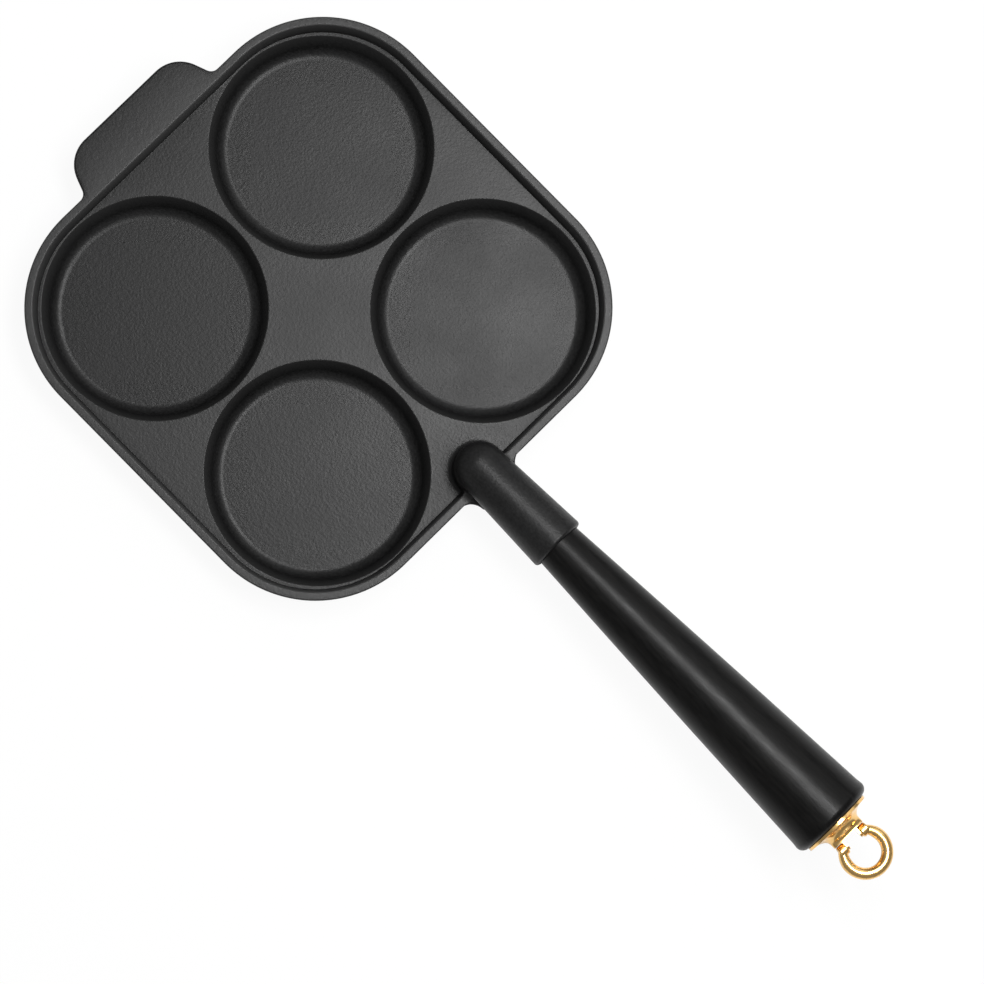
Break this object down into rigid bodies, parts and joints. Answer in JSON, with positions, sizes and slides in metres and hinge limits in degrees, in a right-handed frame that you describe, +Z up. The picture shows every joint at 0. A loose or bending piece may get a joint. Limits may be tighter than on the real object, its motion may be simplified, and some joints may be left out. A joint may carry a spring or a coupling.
{
  "type": "egg pan",
  "caption": "Cast-iron egg pan with round wells in a rimmed square tray, a helper tab, and a turned wooden handle on an elbow socket, ending in a brass cap with a hanging loop.",
  "frame": {"origin": "middle of the whole pan's footprint box, at the level of the flat undersides of the cups that it stands on", "axes": "+X along the pan from the helper tab towards the end of the handle, +Y across it, +Z up out of the wells"},
  "size_m": [0.4602, 0.2118, 0.0678],
  "materials": {
    "seasoned_iron": "sand-cast and seasoned, fine grain, dull charcoal",
    "stained_wood": "turned hardwood, black stain, satin oil",
    "polished_brass": "polished",
    "plain_steel": "plain zinc-plated fasteners"
  },
  "bodies": {
    "pan": {"pan_casting": "seasoned_iron", "handle_grip": "stained_wood", "tie_rod": "plain_steel", "grip_washer": "plain_steel", "grip_nut": "plain_steel", "end_cap": "polished_brass"},
    "loop": {"hanging_loop": "polished_brass"}
  },
  "joints": [
    {"name": "loop_swing", "type": "hinge", "parent": "pan", "child": "loop", "pos_m": [0.21141, 0, 0.04955], "axis": [0, 1, 0], "range_deg": [-105, 105]}
  ]
}
